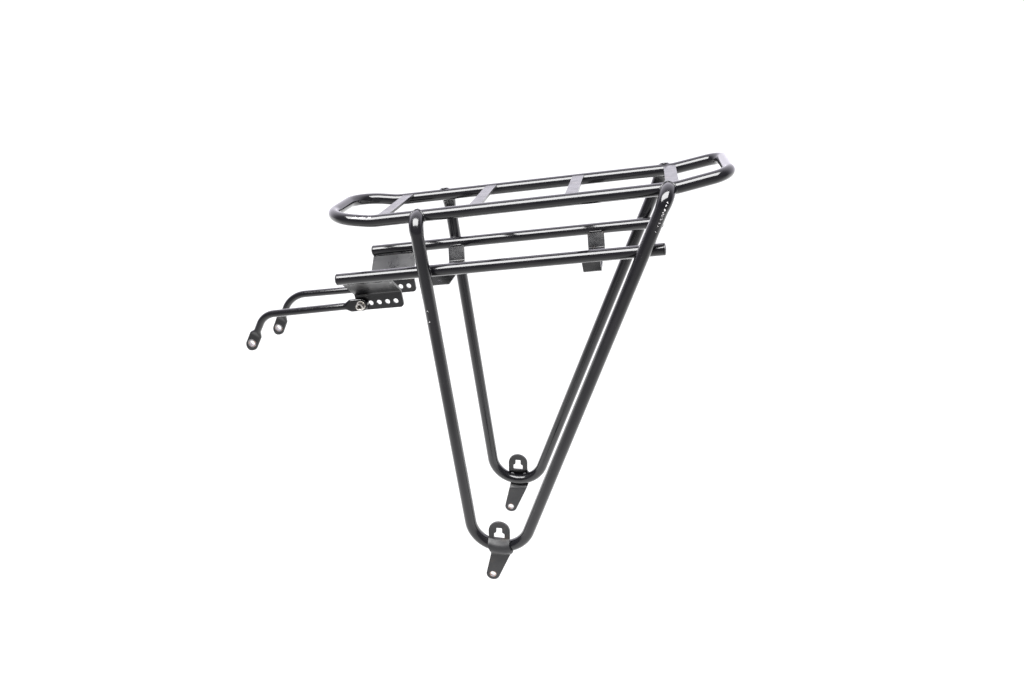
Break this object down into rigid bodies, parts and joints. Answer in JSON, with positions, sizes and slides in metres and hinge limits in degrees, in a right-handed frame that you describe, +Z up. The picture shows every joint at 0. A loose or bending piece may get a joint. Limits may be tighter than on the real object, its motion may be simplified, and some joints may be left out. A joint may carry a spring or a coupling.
{
  "type": "bicycle rear carrier",
  "caption": "Bicycle rear carrier of bent black tube with a luggage deck, battery rails, drop-out eyelets and two swivelling front stays.",
  "frame": {"origin": "midway between the centres of the two lower eyelets, where the carrier bolts to the bicycle's drop-outs", "axes": "+X towards the rear of the bicycle, +Y towards its right side, +Z up, with the luggage deck level"},
  "size_m": [0.5359, 0.1592, 0.4417],
  "materials": {
    "gloss_paint": "glossy black powder coat, chipped and scratched in places",
    "satin_paint": "satin black powder coat over sheet steel",
    "stainless": "bright stainless fasteners",
    "plastic": "glossy black moulded plastic"
  },
  "bodies": {
    "carrier": {"deck_loop": "gloss_paint", "left_leg": "gloss_paint", "right_leg": "gloss_paint", "left_rail": "gloss_paint", "right_rail": "gloss_paint", "deck_strip_1": "satin_paint", "deck_strip_2": "satin_paint", "deck_strip_3": "satin_paint", "deck_strip_4": "satin_paint", "left_stay_bracket": "satin_paint", "right_stay_bracket": "satin_paint", "front_cross_strap": "satin_paint", "rear_cross_strap": "satin_paint", "left_foot_plate": "satin_paint", "right_foot_plate": "satin_paint", "left_pivot_bolt": "stainless", "right_pivot_bolt": "stainless", "left_pivot_washer": "stainless", "right_pivot_washer": "stainless", "left_pivot_nut": "stainless", "right_pivot_nut": "stainless", "left_front_rail_plug": "plastic", "left_rear_rail_plug": "plastic", "right_front_rail_plug": "plastic", "right_rear_rail_plug": "plastic"},
    "left_stay_arm": {"left_stay": "gloss_paint"},
    "right_stay_arm": {"right_stay": "gloss_paint"}
  },
  "joints": [
    {"name": "left_stay_pivot", "type": "hinge", "parent": "carrier", "child": "left_stay_arm", "pos_m": [-0.1008, -0.02805, 0.3275], "axis": [0, 1, 0], "range_deg": [-90, 15]},
    {"name": "right_stay_pivot", "type": "hinge", "parent": "carrier", "child": "right_stay_arm", "pos_m": [-0.1008, 0.02805, 0.3275], "axis": [0, 1, 0], "range_deg": [-90, 15]}
  ]
}
